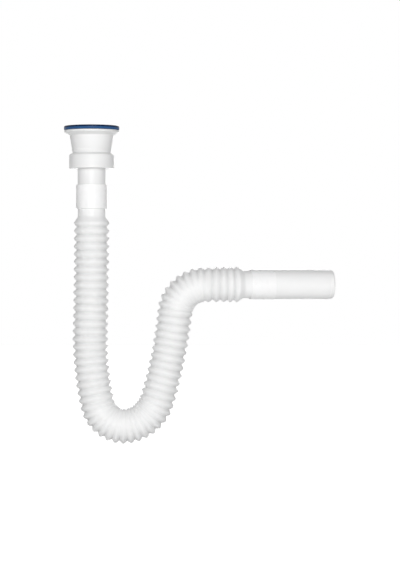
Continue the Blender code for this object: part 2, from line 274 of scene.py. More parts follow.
@dataclass(frozen=True)
class Finish:
    """The material of a surface, with its name, the record's slot for it and its colour."""

    name: str
    slot: Slot
    colour: Colour

    def material(self) -> bpy.types.Material:
        """Builds the material.

        Returns:
            The new material.
        """
        made = bpy.data.materials.new(self.name)
        made.use_nodes = True
        self.paint(NodeWriter(made.node_tree))
        return made

    def paint(self, nodes: NodeWriter) -> None:
        """Writes the material's nodes, in a way of its own for each kind of finish."""
        nodes.set(Base_Color=(*self.colour, 1))


@dataclass(frozen=True)
class MouldedPlastic(Finish):
    """White polypropylene as it leaves a mould: satin, faintly cloudy, with a fine skin texture."""

    shade: float = 0.97
    roughness: float = 0.34
    smoother: float = 0.05
    rougher: float = 0.06
    cloud_scale: float = 38.0
    gloss_scale: float = 190.0
    skin_scale: float = 2600.0
    skin_depth: float = 0.012 * MM
    ripple_scale: float = 150.0
    ripple_depth: float = 0.05 * MM
    refraction: float = 1.49
    specular: float = 0.16
    glow: float = 0.12
    glow_colour: Colour = (1.0, 0.96, 0.92)
    glow_depth: float = 1.2 * MM

    def paint(self, nodes: NodeWriter) -> None:
        """Writes clouds in the colour and the gloss, and ripples under a fine skin.

        Args:
            nodes: Writes into the material's tree.
        """
        shaded = tuple(self.shade * channel for channel in self.colour)
        clouds = nodes.noise(self.cloud_scale, detail=4.0)
        glossy = nodes.noise(self.gloss_scale, detail=3.0)
        skin = nodes.noise(self.skin_scale, detail=3.0, roughness=0.6)
        ripple = nodes.bump(nodes.noise(self.ripple_scale, detail=2.0), self.ripple_depth)
        gloss = nodes.spread(glossy, -self.smoother, self.rougher)
        nodes.set(
            Base_Color=nodes.between(clouds, shaded, self.colour),
            Roughness=nodes.maths("ADD", gloss, self.roughness),
            Normal=nodes.bump(skin, self.skin_depth, ripple),
            IOR=self.refraction,
            Specular_IOR_Level=self.specular,
            Subsurface_Weight=self.glow,
            Subsurface_Radius=self.glow_colour,
            Subsurface_Scale=self.glow_depth,
        )


@dataclass(frozen=True)
class BellowsPlastic(MouldedPlastic):
    """The same plastic blown thin, with painted shade greying the roots of its folds, which are also
    duller.
    """

    root_shade_colour: Colour = (0.74, 0.741, 0.74)
    root_roughness: float = 0.16

    def paint(self, nodes: NodeWriter) -> None:
        """Paints shade into the roots and dulls them, from how deep each point lies by its FOLD_ROOT.

        Args:
            nodes: Writes into the material's tree.
        """
        super().paint(nodes)
        depth = nodes.add("Attribute", attribute_name=FOLD_ROOT).outputs["Fac"]
        # Painted shade: the colour darkens toward the roots of the folds, where the creases lie in
        # shade.
        nodes.tint(depth, self.root_shade_colour)
        dull = nodes.maths("MULTIPLY_ADD", depth, self.root_roughness, nodes.source("Roughness"))
        nodes.set(Roughness=dull)


@dataclass(frozen=True)
class WornFinish(Finish):
    """A finish with patches of another colour and gloss, as handling or air leave them."""

    stain: Colour
    roughness: float = 0.5
    smoother: float = 0.08
    rougher: float = 0.12
    stain_scale: float = 95.0
    most_stained: float = 0.55
    wear_scale: float = 220.0

    def paint(self, nodes: NodeWriter) -> None:
        """Writes the patches in the colour and the gloss.

        Args:
            nodes: Writes into the material's tree.
        """
        patches = nodes.noise(self.stain_scale, detail=5.0, roughness=0.6)
        stained = nodes.spread(patches, 0.0, self.most_stained)
        worn = nodes.noise(self.wear_scale, detail=4.0)
        least, most = self.roughness - self.smoother, self.roughness + self.rougher
        nodes.set(
            Base_Color=nodes.between(stained, self.colour, self.stain),
            Roughness=nodes.spread(worn, least, most),
        )


@dataclass(frozen=True)
class MouldedRubber(WornFinish):
    """Soft rubber from a mould: a close grain, dulled in patches by handling."""

    refraction: float = 1.52
    specular: float = 0.18
    grain_scale: float = 1500.0
    grain_depth: float = 0.02 * MM

    def paint(self, nodes: NodeWriter) -> None:
        """Adds the grain.

        Args:
            nodes: Writes into the material's tree.
        """
        super().paint(nodes)
        grain = nodes.noise(self.grain_scale, detail=3.0, roughness=0.65)
        nodes.set(
            Normal=nodes.bump(grain, self.grain_depth),
            IOR=self.refraction,
            Specular_IOR_Level=self.specular,
        )


@dataclass(frozen=True)
class GasketRubber(MouldedRubber):
    """The same rubber, with painted shade: a dark line painted round the rounded upper edge."""

    painted_shade_colour: Colour = (0.003, 0.012, 0.045)
    edge_foot: float = -2.4 * MM
    edge_top: float = -0.05 * MM
    edge_blur: float = 0.7 * MM
    top_blur: float = 0.7 * MM / 3

    def paint(self, nodes: NodeWriter) -> None:
        """Paints the shade line, between two heights under the top face.

        Args:
            nodes: Writes into the material's tree.
        """
        super().paint(nodes)
        height = nodes.add("SeparateXYZ", Vector=nodes.position()).outputs["Z"]
        above_foot = nodes.ramp(height, self.edge_foot, self.edge_foot + self.edge_blur)
        below_top = nodes.ramp(height, self.edge_top, self.edge_top - self.top_blur)
        # Painted shade: the colour is darkened in a band round the rounded upper edge, standing in for
        # the shade that falls there.
        nodes.tint(nodes.maths("MULTIPLY", above_foot, below_top), self.painted_shade_colour)


@dataclass(frozen=True)
class TurnedBrass(WornFinish):
    """Brass off a lathe: fine rings round its axis and a slight tarnish."""

    roughness: float = 0.30
    rougher: float = 0.14
    stain_scale: float = 420.0
    most_stained: float = 0.7
    wear_scale: float = 700.0
    ring_scale: float = 2400.0
    ring_waver: float = 1.5
    ring_depth: float = 0.01 * MM

    def paint(self, nodes: NodeWriter) -> None:
        """Adds the metal and its rings.

        Args:
            nodes: Writes into the material's tree.
        """
        super().paint(nodes)
        rings = nodes.add(
            "TexWave",
            Vector=nodes.position(),
            Scale=self.ring_scale,
            Distortion=self.ring_waver,
            bands_direction="Z",
        )
        nodes.set(Normal=nodes.bump(rings.outputs["Fac"], self.ring_depth), Metallic=1.0)


WHITE_MOULDING = MouldedPlastic("white_moulding", Slot.WHITE, (0.835, 0.836, 0.835))
HOSE_MOULDING = BellowsPlastic(
    "hose_moulding", Slot.HOSE, (0.872, 0.873, 0.872), roughness=0.36, glow=0.10
)
# Painted light: the spigot is the same white plastic as the cup, given a brighter colour to stand in for
# more light falling on it.
SPIGOT_LIT_MOULDING = MouldedPlastic("spigot_lit_moulding", Slot.WHITE, (0.885, 0.886, 0.885))
BRIGHT_BAND = MouldedPlastic(
    "bright_band", Slot.WHITE, (0.925, 0.925, 0.925), shade=0.98, roughness=0.28
)
BLUE_RUBBER = GasketRubber(
    "blue_gasket_rubber",
    Slot.BLUE,
    (0.022, 0.075, 0.20),
    (0.032, 0.105, 0.25),
    roughness=0.42,
    specular=0.08,
)
BLACK_RUBBER = MouldedRubber(
    "black_seal_rubber", Slot.BLACK, (0.018, 0.018, 0.019), (0.05, 0.05, 0.05)
)
BRASS = TurnedBrass("insert_brass", Slot.BRASS, (0.76, 0.56, 0.24), (0.50, 0.34, 0.13))


# Meshes

# How a fillet is cut down and divided
LONGEST_REACH = 0.45
LEAST_TURN = radians(2)
STEP_TURN = radians(15)

SIDES = 144
FINE_SIDES = 180
BOSS_SIDES = 72


@dataclass(frozen=True)
class Corner:
    """A corner of a turned outline: its distance from the axis, its height and its fillet."""

    radius: float
    height: float
    fillet: float = 0.0


def ring_section(
    inner: float, outer: float, top: float, foot: float, edges: Sequence[float]
) -> list[Corner]:
    """The section of a plain ring, down its bore and up its outer face.

    Args:
        inner: Its bore's radius.
        outer: Its outer radius.
        top: The height of its top face.
        foot: The height of its foot.
        edges: The fillets, in order.

    Returns:
        Its four corners.
    """
    spots = ((inner, top), (inner, foot), (outer, foot), (outer, top))
    return [Corner(radius, height, edge) for (radius, height), edge in zip(spots, edges)]


def fine_face(radius: float, start: float, end: float, rows: int, margin: int) -> list[Corner]:
    """A plain face cut into rows, fine enough for a thread.

    Args:
        radius: The face's distance from the axis.
        start: The height where it starts.
        end: The height where it ends.
        rows: How many rows the whole face has.
        margin: How many rows are left out at each end.

    Returns:
        A sharp corner for each row.
    """
    picked = range(margin, rows - margin + 1)
    return [Corner(radius, start + (end - start) * row / rows) for row in picked]


def arc_points(before: Vector, at: Vector, after: Vector, fillet: float) -> list[Vector]:
    """Rounds one corner of an outline.

    Args:
        before: The corner before it.
        at: The corner to round.
        after: The corner after it.
        fillet: The wanted radius, cut down where the sides are short.

    Returns:
        The points that stand for the corner.
    """
    back, ahead = before - at, after - at
    turn = pi - back.angle(ahead)
    if fillet <= 0 or turn < LEAST_TURN:
        return [at]
    reach = min(fillet * tan(turn / 2), LONGEST_REACH * min(back.length, ahead.length))
    radius = reach / tan(turn / 2)
    start, end = at + back.normalized() * reach, at + ahead.normalized() * reach
    inward = (back.normalized() + ahead.normalized()).normalized()
    centre = at + inward * sqrt(radius**2 + reach**2)
    steps = max(2, round(turn / STEP_TURN))
    first, last = (start - centre).normalized(), (end - centre).normalized()
    return [centre + first.slerp(last, step / steps) * radius for step in range(steps + 1)]


def smooth_outline(corners: Sequence[Corner], hold: float) -> np.ndarray:
    """Turns corners into the points of a closed outline, with fillets and flats that stay flat.

    Args:
        corners: The outline's corners, in order.
        hold: How far from a flat's ends its extra points are, which keep its shading flat.

    Returns:
        Points as (distance from the axis, height).
    """
    spots = [Vector((corner.radius, corner.height)) for corner in corners]
    rounded: list[Vector] = []
    for place, corner in enumerate(corners):
        after = spots[(place + 1) % len(spots)]
        rounded += arc_points(spots[place - 1], spots[place], after, corner.fillet)
    points: list[Vector] = []
    for spot, following in zip(rounded, rounded[1:] + rounded[:1]):
        points.append(spot)
        length = (following - spot).length
        if length > 4 * hold:
            points += [spot.lerp(following, share) for share in (hold / length, 1 - hold / length)]
    return np.array([(point.x, point.y) for point in points])


def shade(mesh: bpy.types.Mesh, sharp_from: float = 40.0) -> None:
    """Shades a mesh smooth, apart from edges that turn by more than an angle in degrees."""
    mesh.shade_smooth()
    mesh.set_sharp_from_angle(angle=radians(sharp_from))


def stand(name: str, data: bpy.types.ID) -> Piece:
    """Puts a mesh, a lamp or a camera in the scene.

    Args:
        name: The object's name.
        data: What it shows.

    Returns:
        The new object.
    """
    piece = bpy.data.objects.new(name, data)
    bpy.context.scene.collection.objects.link(piece)
    return piece


def surface(name: str, rings: np.ndarray, sharp_from: float = 40.0) -> Piece:
    """Makes a closed wall from rings of points: each ring is joined to the next, the last to the first.

    Args:
        name: The piece's name.
        rings: Points, as rings by sides by 3.
        sharp_from: The angle in degrees from which an edge is shaded sharp.

    Returns:
        The new piece.
    """
    count, sides = rings.shape[:2]
    ring, side = np.indices((count, sides))
    ring_after, side_after = (ring + 1) % count, (side + 1) % sides
    places = ((ring, side), (ring, side_after), (ring_after, side_after), (ring_after, side))
    quads = np.stack([on * sides + at for on, at in places], axis=-1).reshape(-1, 4)
    points = rings.reshape(-1, 3)
    first, second, third, fourth = np.moveaxis(points[quads], 1, 0)
    volume = (first * (np.cross(second, third) + np.cross(third, fourth))).sum()
    if volume < 0:
        quads = quads[:, ::-1]
    mesh = bpy.data.meshes.new(name)
    mesh.from_pydata(points.tolist(), [], quads.tolist())
    shade(mesh, sharp_from)
    return stand(name, mesh)


def turned(
    name: str,
    corners: Sequence[Corner],
    sides: int = SIDES,
    bulge: Bulge | None = None,
    hold: float = 0.25 * MM,
) -> Piece:
    """Turns a closed outline round the inlet axis.

    Args:
        name: The piece's name.
        corners: The outline's corners, in order.
        sides: How many facets it has round its axis.
        bulge: Adds to the distance from the axis, given each point's distance, height and angle.
        hold: How far from a flat's ends its extra points are.

    Returns:
        The new piece.
    """
    outline = smooth_outline(corners, hold)
    radius, height = (np.repeat(column[:, None], sides, axis=1) for column in outline.T)
    angle = np.repeat(np.linspace(0, TURN, sides, endpoint=False)[None, :], len(outline), axis=0)
    if bulge is not None:
        radius = radius + bulge(radius, height, angle)
    return surface(name, np.stack([radius * np.cos(angle), radius * np.sin(angle), height], axis=-1))


def screw_wave(height: np.ndarray, angle: np.ndarray, pitch: float, lead: float = 0.0) -> np.ndarray:
    """A thread's wave: 0 on its crest and 1 in its root.

    Args:
        height: Each point's height.
        angle: Each point's angle.
        pitch: How far the thread climbs in a turn.
        lead: The share of a turn by which it is moved on.

    Returns:
        The wave at each point.
    """
    return 1 - 2 * np.abs((height / pitch + angle / TURN + lead) % 1.0 - 0.5)


@dataclass(frozen=True)
class ScrewThread:
    """A thread cut into a turned face, which runs out toward both its ends."""

    face: float
    foot: float
    top: float
    run_out: float
    pitch: float
    depth: float
    lead: float = 0.0
    flank: float = 1.25
    reach: float = 0.01 * MM

    def cut(self, radius: np.ndarray, height: np.ndarray, angle: np.ndarray) -> np.ndarray:
        """Cuts the thread, as a bulge for turned.

        Args:
            radius: Each point's distance from the axis.
            height: Each point's height.
            angle: Each point's angle.

        Returns:
            What is added to each distance.
        """
        groove = np.clip(self.flank * screw_wave(height, angle, self.pitch, self.lead), 0, 1)
        fade = np.clip((height - self.foot) / self.run_out, 0, 1)
        fade = fade * np.clip((self.top - height) / self.run_out, 0, 1)
        return self.depth * groove * fade * (np.abs(radius - self.face) < self.reach)


def fuse(piece: Piece, other: Piece) -> None:
    """Adds another solid to a piece, and deletes the other.

    Args:
        piece: The piece that is kept.
        other: The solid that is used up.
    """
    modifier = piece.modifiers.new(other.name, "BOOLEAN")
    modifier.operation, modifier.solver, modifier.object = "UNION", "EXACT", other
    graph = bpy.context.evaluated_depsgraph_get()
    made = bpy.data.meshes.new_from_object(piece.evaluated_get(graph))
    piece.modifiers.clear()
    piece.data = made
    shade(made)
    bpy.data.objects.remove(other)


def block(name: str, low: Vector, high: Vector, turn: float, rounding: float) -> Piece:
    """Makes a block with rounded edges, turned about the inlet axis.

    Args:
        name: The block's name.
        low: Its lowest corner before it is turned.
        high: Its highest corner before it is turned.
        turn: The turn about +Z, in radians.
        rounding: The radius of its edges.

    Returns:
        The new block.
    """
    shape = bmesh.new()
    bmesh.ops.create_cube(shape, size=1)
    spread = Matrix.Translation((high + low) / 2) @ Matrix.Diagonal((*(high - low), 1))
    bmesh.ops.transform(shape, matrix=spread, verts=shape.verts)
    bmesh.ops.bevel(
        shape, geom=shape.edges[:], offset=rounding, segments=4, profile=0.5, affect="EDGES"
    )
    bmesh.ops.rotate(shape, matrix=Matrix.Rotation(turn, 3, "Z"), verts=shape.verts)
    mesh = bpy.data.meshes.new(name)
    shape.to_mesh(mesh)
    shape.free()
    return stand(name, mesh)


@dataclass
class Dresser:
    """Gives pieces their finish, their body and the solid that they stand for."""

    made: dict[str, bpy.types.Material] = field(default_factory=dict)
    pieces: list[Piece] = field(default_factory=list)

    def material_of(self, finish: Finish) -> bpy.types.Material:
        """Builds a finish's material once.

        Args:
            finish: The finish.

        Returns:
            Its material.
        """
        if finish.name not in self.made:
            self.made[finish.name] = finish.material()
        return self.made[finish.name]

    def dress(self, piece: Piece, finish: Finish, node: str, body: Body | None = None) -> None:
        """Gives a piece its material and body, and hides the solid it stands for.

        Args:
            piece: The piece.
            finish: Its finish.
            node: The solid that it stands for.
            body: The body that it moves with, or None where it bends between two.
        """
        piece.data.materials.clear()
        piece.data.materials.append(self.material_of(finish))
        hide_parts(node)
        if body is not None:
            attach(piece, body.value)
        self.pieces.append(piece)


# Sub-assemblies


@dataclass
class InletCup:
    """The waste cup with its flange, cross web and threaded tail, its gasket and its brass insert."""

    gasket_radius: float = 31.8 * MM
    gasket_bore: float = 23.6 * MM
    gasket_thickness: float = 4.6 * MM
    gasket_rounding: float = 2.0 * MM
    gasket_overhang: float = 0.4 * MM
    groove_width: float = 1.1 * MM
    groove_depth: float = 0.35 * MM
    groove_aside: float = 1.4 * MM
    groove_edge: float = 0.15 * MM
    rim_thickness: float = 2.5 * MM
    rim_bevel: float = 0.5 * MM
    flange_drop: float = 3.3 * MM
    flange_hollow: float = 0.9 * MM
    hollow_step: float = 0.1 * MM
    hollow_rise: float = 0.2 * MM
    collar_height: float = 2.2 * MM
    collar_wall: float = 1.8 * MM
    cup_flare: float = 3.5 * MM
    cup_foot_step: float = 0.85 * MM
    cup_foot_edge: float = 0.05 * MM
    cup_length: float = 20.3 * MM
    throat_rounding: float = 4.0 * MM
    floor_rounding: float = 1.2 * MM
    wall: float = 2.4 * MM
    bead_above_foot: float = 2.0 * MM
    bead_width: float = 2.4 * MM
    bead_height: float = 0.25 * MM
    stop_thickness: float = 1.6 * MM
    stop_step: float = 1.4 * MM
    pipe_radius: float = 16.0 * MM
    pipe_clearance: float = 0.5 * MM
    thread_depth: float = 1.25 * MM
    thread_pitch: float = 2.309 * MM
    thread_length: float = 11.7 * MM
    thread_from: float = 0.3 * MM
    thread_until: float = 1.0 * MM
    thread_run_out: float = 0.8 * MM
    seat_depth: float = 4.0 * MM
    seat_flare: float = 3.4 * MM
    tail_rim: float = 1.05 * MM
    rib_count: int = 4
    rib_thickness: float = 2.4 * MM
    rib_height: float = 9.0 * MM
    web_depth: float = 7.8 * MM
    boss_wall: float = 1.7 * MM
    boss_cap: float = 4.2 * MM
    screw_clearance: float = 0.4 * MM
    screw_pitch: float = 1.0 * MM
    screw_depth: float = 0.35 * MM
    screw_lead_in: float = 0.3 * MM
    insert_bore: float = 2.5 * MM
    insert_wall: float = 1.5 * MM
    insert_length: float = 8.5 * MM
    waist_foot: float = 3.4 * MM
    waist_length: float = 1.7 * MM
    waist_slope: float = 0.4 * MM
    waist_depth: float = 0.5 * MM
    knurl_count: int = 36
    knurl_depth: float = 0.12 * MM
    knurl_reach: float = 0.1 * MM
    insert_hold: float = 0.1 * MM

    def __post_init__(self) -> None:
        """Works out the radii and heights that follow from the sizes above."""
        self.tail_bore = self.pipe_radius + self.pipe_clearance
        self.seat_mouth = self.tail_bore + self.seat_flare
        self.thread_radius = self.seat_mouth + self.tail_rim
        self.cup_foot_radius = self.thread_radius + self.cup_foot_step
        self.cup_top_radius = self.cup_foot_radius + self.cup_flare
        self.flange_radius = self.gasket_radius - self.gasket_overhang
        self.flange_top = -(self.gasket_thickness + GAP)
        self.cup_top = self.flange_top - self.rim_thickness - self.flange_drop
        self.cup_foot = self.cup_top - self.cup_length
        self.tail_foot = self.cup_foot - self.thread_length
        self.insert_radius = self.insert_bore + self.insert_wall
        self.insert_top = -self.web_depth - self.boss_cap - GAP
        self.boss_foot = self.insert_top - self.insert_length

    def cup_radius_at(self, height: float) -> float:
        """The cone's outer radius at a height."""
        share = (height - self.cup_foot) / self.cup_length
        return self.cup_foot_radius + share * (self.cup_top_radius - self.cup_foot_radius)

    def outline(self) -> list[Corner]:
        """The cup's section, with the tail's outer face cut fine enough for its thread.

        Returns:
            Its corners, in order.
        """
        collar, collar_top = self.gasket_bore - GAP, self.flange_top + self.collar_height
        stop, stop_foot = self.pipe_radius - self.stop_step, self.cup_foot - self.stop_thickness
        under, hollow = self.cup_top + self.flange_drop, self.cup_top_radius - self.hollow_step
        return [
            Corner(collar, self.flange_top, CRISP),
            Corner(collar, collar_top, SOFT),
            Corner(collar - self.collar_wall, collar_top, BLUNT),
            Corner(self.cup_radius_at(self.cup_top) - self.wall, self.cup_top, self.throat_rounding),
            Corner(self.cup_foot_radius - self.wall, self.cup_foot, self.floor_rounding),
            Corner(stop, self.cup_foot, EASED),
            Corner(stop, stop_foot, BROKEN),
            Corner(self.tail_bore, stop_foot, CRISP),
            Corner(self.tail_bore, self.tail_foot + self.seat_depth, EASED),
            Corner(self.seat_mouth, self.tail_foot, CRISP),
            Corner(self.thread_radius, self.tail_foot, EASED),
            *fine_face(self.thread_radius, self.tail_foot, self.cup_foot, rows=64, margin=3),
            Corner(self.thread_radius, self.cup_foot, CRISP),
            Corner(self.cup_foot_radius, self.cup_foot, self.cup_foot_edge),
            *self.bead(),
            Corner(hollow, self.cup_top + self.hollow_rise, self.flange_hollow),
            Corner(self.flange_radius - self.rim_bevel, under, BLUNT),
            Corner(self.flange_radius, under + self.rim_bevel, EASED),
            Corner(self.flange_radius, self.flange_top, SOFT),
        ]

    def bead(self) -> list[Corner]:
        """The low bead round the cone, just above the nut.

        Returns:
            Its corners, from its foot up.
        """
        corners = []
        for rise, proud in ((0.0, 0.0), (0.25, 1.0), (0.75, 1.0), (1.0, 0.0)):
            height = self.cup_foot + self.bead_above_foot + rise * self.bead_width
            out = self.cup_radius_at(height) + proud * self.bead_height
            corners.append(Corner(out, height, EASED))
        return corners

    def build_cup(self) -> Piece:
        """Builds the cup with its web, boss and thread.

        Returns:
            The cup.
        """
        thread = ScrewThread(
            face=self.thread_radius,
            foot=self.tail_foot + self.thread_from,
            top=self.cup_foot - self.thread_until,
            run_out=self.thread_run_out,
            pitch=self.thread_pitch,
            depth=-self.thread_depth,
        )
        cup = turned("waste_cup", self.outline(), FINE_SIDES, thread.cut)
        web_top, web_foot = -self.web_depth, -self.web_depth - self.rib_height
        pocket, pocket_top = self.insert_radius + GAP, self.insert_top + GAP
        screw_hole, boss_radius = self.insert_bore + self.screw_clearance, pocket + self.boss_wall
        reach, half = self.cup_radius_at(web_foot) - self.wall / 2, self.rib_thickness / 2
        for rib in range(self.rib_count):
            low = Vector((pocket + self.boss_wall / 2, -half, web_foot))
            turn = (2 * rib + 1) * pi / self.rib_count
            fuse(cup, block(f"rib_{rib}", low, Vector((reach, half, web_top)), turn, SOFT))
        boss = [
            Corner(screw_hole, web_top, EASED),
            Corner(screw_hole, pocket_top, KEEN),
            Corner(pocket, pocket_top, KEEN),
            Corner(pocket, self.boss_foot, CRISP),
            Corner(boss_radius, self.boss_foot, EASED),
            Corner(boss_radius, web_top, SOFT),
        ]
        fuse(cup, turned("boss", boss, BOSS_SIDES))
        return cup

    def build_gasket(self) -> Piece:
        """Builds the gasket, with two grooves that leave sealing beads on its top face.

        Returns:
            The gasket.
        """
        inner, outer, foot = self.gasket_bore, self.gasket_radius, -self.gasket_thickness
        middle = (inner + outer - self.gasket_rounding) / 2
        edges = (SOFT, EASED, BLUNT, self.gasket_rounding)
        corners = ring_section(inner, outer, 0.0, foot, edges)
        for centre in (middle + self.groove_aside, middle - self.groove_aside):
            corners += [
                Corner(centre + self.groove_width / 2, 0.0, self.groove_edge),
                Corner(centre, -self.groove_depth, BROKEN),
                Corner(centre - self.groove_width / 2, 0.0, self.groove_edge),
            ]
        return turned("gasket_ring", corners, FINE_SIDES)

    def build_insert(self) -> Piece:
        """Builds the brass insert, knurled outside and threaded inside.

        Returns:
            The insert.
        """
        foot, top, outer = self.boss_foot, self.insert_top, self.insert_radius
        low, high = foot + self.waist_foot, foot + self.waist_foot + self.waist_length
        waist = outer - self.waist_depth
        corners = [
            Corner(self.insert_bore, top, CRISP),
            *fine_face(self.insert_bore, top, foot, rows=48, margin=1),
            Corner(self.insert_bore + self.screw_lead_in, foot),
            Corner(outer, foot, BROKEN),
            Corner(outer, low, CRISP),
            Corner(waist, low + self.waist_slope, CRISP),
            Corner(waist, high - self.waist_slope, CRISP),
            Corner(outer, high, CRISP),
            Corner(outer, top, BROKEN),
        ]

        def cut(radius: np.ndarray, height: np.ndarray, angle: np.ndarray) -> np.ndarray:
            """Cuts the knurl outside and the M6 thread inside, as a bulge for turned."""
            ridges = 0.5 + 0.5 * np.cos(self.knurl_count * angle)
            knurl = -self.knurl_depth * ridges * (radius > outer - self.knurl_reach)
            inside = (radius < self.insert_bore + NEAR) & (height < top - self.screw_lead_in)
            return knurl + self.screw_depth * screw_wave(height, angle, self.screw_pitch) * inside

        return turned("screw_bush", corners, SIDES, cut, hold=self.insert_hold)

    def build(self, dresser: Dresser) -> None:
        """Builds and dresses the cup, the gasket and the insert.

        Args:
            dresser: Gives the pieces their finishes.
        """
        dresser.dress(self.build_cup(), WHITE_MOULDING, "waste_body", Body.INLET)
        dresser.dress(self.build_gasket(), BLUE_RUBBER, "rim_gasket", Body.INLET)
        dresser.dress(self.build_insert(), BRASS, "screw_insert", Body.INLET)


@dataclass
class UnionJoint:
    """The union nut, its slip ring and the cone seal that they press into the tail."""

    cup: InletCup
    nut_wall: float = 4.45 * MM
    thread_clearance: float = 0.35 * MM
    thread_from: float = 1.5 * MM
    thread_until: float = 0.9 * MM
    thread_run_out: float = 1.0 * MM
    lip_thickness: float = 3.0 * MM
    shoulder_width: float = 3.5 * MM
    shoulder_drop: float = 2.3 * MM
    shoulder_rounding: float = 1.2 * MM
    shoulder_edge: float = 0.15 * MM
    foot_rounding: float = 0.8 * MM
    seam: float = 0.1 * MM
    ring_clearance: float = 0.8 * MM
    ring_thickness: float = 1.2 * MM
    ring_bore_edge: float = 0.25 * MM
    ring_edge: float = 0.35 * MM
    seal_base: float = 1.4 * MM
    seal_top_wall: float = 1.3 * MM
    seal_clearance: float = 0.45 * MM

    def __post_init__(self) -> None:
        """Works out the radii and heights that follow from the cup."""
        self.pipe_clear = self.cup.pipe_radius + GAP
        self.nut_bore = self.cup.thread_radius + self.thread_clearance
        self.seal_foot = self.cup.tail_foot - self.seal_base
        self.ring_top = self.seal_foot - GAP
        self.lip_top = self.ring_top - self.ring_thickness - GAP
        self.nut_foot = self.lip_top - self.lip_thickness

    def build_nut(self) -> Piece:
        """Builds the nut, threaded inside.

        Returns:
            The nut.
        """
        cup, foot = self.cup, self.nut_foot
        top, nut_radius = cup.cup_foot - self.seam, self.nut_bore + self.nut_wall
        corners = [
            Corner(self.nut_bore, top, SOFT),
            *fine_face(self.nut_bore, top, self.lip_top, rows=60, margin=2),
            Corner(self.nut_bore, self.lip_top, BROKEN),
            Corner(self.pipe_clear, self.lip_top, BROKEN),
            Corner(self.pipe_clear, foot, BLUNT),
            Corner(nut_radius, foot, self.foot_rounding),
            Corner(nut_radius, top - self.shoulder_drop, self.shoulder_rounding),
            Corner(nut_radius - self.shoulder_width, top, self.shoulder_edge),
        ]
        thread = ScrewThread(
            face=self.nut_bore,
            foot=self.lip_top + self.thread_from,
            top=cup.cup_foot - self.thread_until,
            run_out=self.thread_run_out,
            pitch=cup.thread_pitch,
            depth=cup.thread_depth,
            lead=0.5,
        )
        return turned("slip_nut", corners, FINE_SIDES, thread.cut)

    def build_ring(self) -> Piece:
        """Builds the slip ring.

        Returns:
            The ring.
        """
        foot, outer = self.ring_top - self.ring_thickness, self.nut_bore - self.ring_clearance
        edges = (self.ring_bore_edge, self.ring_bore_edge, self.ring_edge, self.ring_edge)
        section = ring_section(self.pipe_clear, outer, self.ring_top, foot, edges)
        return turned("thrust_ring", section)

    def build_seal(self) -> Piece:
        """Builds the cone seal.

        Returns:
            The seal.
        """
        cup = self.cup
        slope, mouth = cup.seat_flare / cup.seat_depth, cup.seat_mouth - self.seal_clearance
        top = cup.tail_foot + (mouth - self.pipe_clear - self.seal_top_wall) / slope
        corners = [
            Corner(self.pipe_clear, top, BROKEN),
            Corner(self.pipe_clear, self.seal_foot, BROKEN),
            Corner(mouth, self.seal_foot, BROKEN),
            Corner(mouth, cup.tail_foot, BROKEN),
            Corner(self.pipe_clear + self.seal_top_wall, top, BROKEN),
        ]
        return turned("wedge_seal", corners)

    def build(self, dresser: Dresser) -> None:
        """Builds and dresses the nut, the ring and the seal.

        Args:
            dresser: Gives the pieces their finishes.
        """
        dresser.dress(self.build_nut(), WHITE_MOULDING, "union_nut", Body.NUT)
        dresser.dress(self.build_ring(), WHITE_MOULDING, "slip_ring", Body.NUT_CARRIER)
        dresser.dress(self.build_seal(), BLACK_RUBBER, "cone_seal", Body.HOSE)


@dataclass
class InletStub:
    """The plain inlet pipe and the bright sleeve that joins it to the hose."""

    joint: UnionJoint
    pipe_wall: float = 1.7 * MM
    exposed: float = 18.4 * MM
    sleeve_wall: float = 1.5 * MM
    sleeve_length: float = 28.0 * MM
    sleeve_rounding: float = 0.7 * MM
    rib_width: float = 1.2 * MM
    rib_height: float = 1.1 * MM
    neck_radius: float = 15.8 * MM

    def __post_init__(self) -> None:
        """Works out the heights of the sleeve and of the register rib inside it."""
        self.sleeve_top = self.joint.nut_foot - self.exposed
        self.sleeve_foot = self.sleeve_top - self.sleeve_length
        self.rib_top = self.sleeve_top - self.sleeve_length / 2 + self.rib_width / 2
        self.rib_foot = self.sleeve_top - self.sleeve_length / 2 - self.rib_width / 2

    def build_pipe(self) -> Piece:
        """Builds the pipe.

        Returns:
            The pipe.
        """
        cup, edges = self.joint.cup, (BROKEN, CRISP, CRISP, BLUNT)
        bore, outer = cup.pipe_radius - self.pipe_wall, cup.pipe_radius
        top, foot = cup.cup_foot - cup.stop_thickness - GAP, self.rib_top + GAP
        return turned("stub_pipe", ring_section(bore, outer, top, foot, edges))

    def build_sleeve(self) -> Piece:
        """Builds the sleeve, with the register rib between pipe and hose.

        Returns:
            The sleeve.
        """
        upper, lower = self.joint.pipe_clear, self.neck_radius + GAP
        outer, rib = max(upper, lower) + self.sleeve_wall, min(upper, lower) - self.rib_height
        corners = [
            Corner(upper, self.sleeve_top, EASED),
            Corner(upper, self.rib_top, KEEN),
            Corner(rib, self.rib_top, CRISP),
            Corner(rib, self.rib_foot, CRISP),
            Corner(lower, self.rib_foot, KEEN),
            Corner(lower, self.sleeve_foot, EASED),
            Corner(outer, self.sleeve_foot, self.sleeve_rounding),
            Corner(outer, self.sleeve_top, self.sleeve_rounding),
        ]
        return turned("bright_sleeve", corners)

    def build(self, dresser: Dresser) -> None:
        """Builds and dresses the pipe and the sleeve."""
        dresser.dress(self.build_pipe(), WHITE_MOULDING, "inlet_pipe", Body.HOSE)
        dresser.dress(self.build_sleeve(), BRIGHT_BAND, "joint_sleeve", Body.HOSE)


STRAIGHT = 1e-9


class Bend(Enum):
    """The ways in which the hose bends, as directions round its own axis."""

    TOWARD_OUTLET = 0.0
    AWAY = pi
    TOWARD_BACK = -pi / 2


